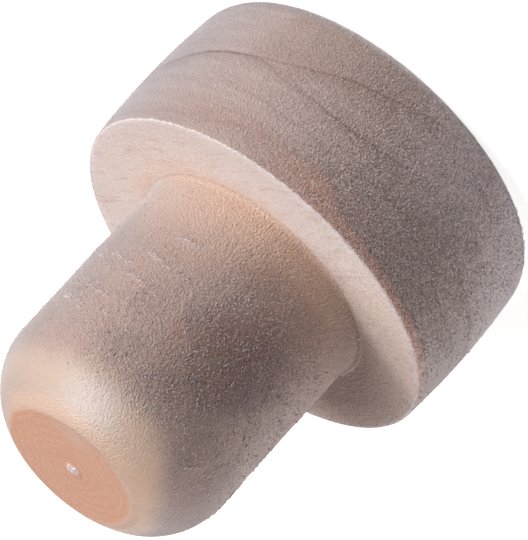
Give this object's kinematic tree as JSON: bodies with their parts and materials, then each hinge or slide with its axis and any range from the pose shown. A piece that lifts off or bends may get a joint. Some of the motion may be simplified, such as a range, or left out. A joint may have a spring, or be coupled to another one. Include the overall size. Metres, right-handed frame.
{
  "type": "turned wooden bottle stopper",
  "caption": "Turned wooden stopper with a round drum head and a straight plug that has a rounded nose and a flat end.",
  "frame": {"origin": "centre of the head's outer face, on which the stopper stands", "axes": "+Z along the lathe axis, from the head's outer face to the end of the plug; X and Y are any two directions across"},
  "size_m": [0.0306, 0.0306, 0.035],
  "materials": {
    "bare_wood": "bare, sanded, slightly fuzzy"
  },
  "bodies": {
    "root": {"stopper": "bare_wood"}
  },
  "joints": []
}
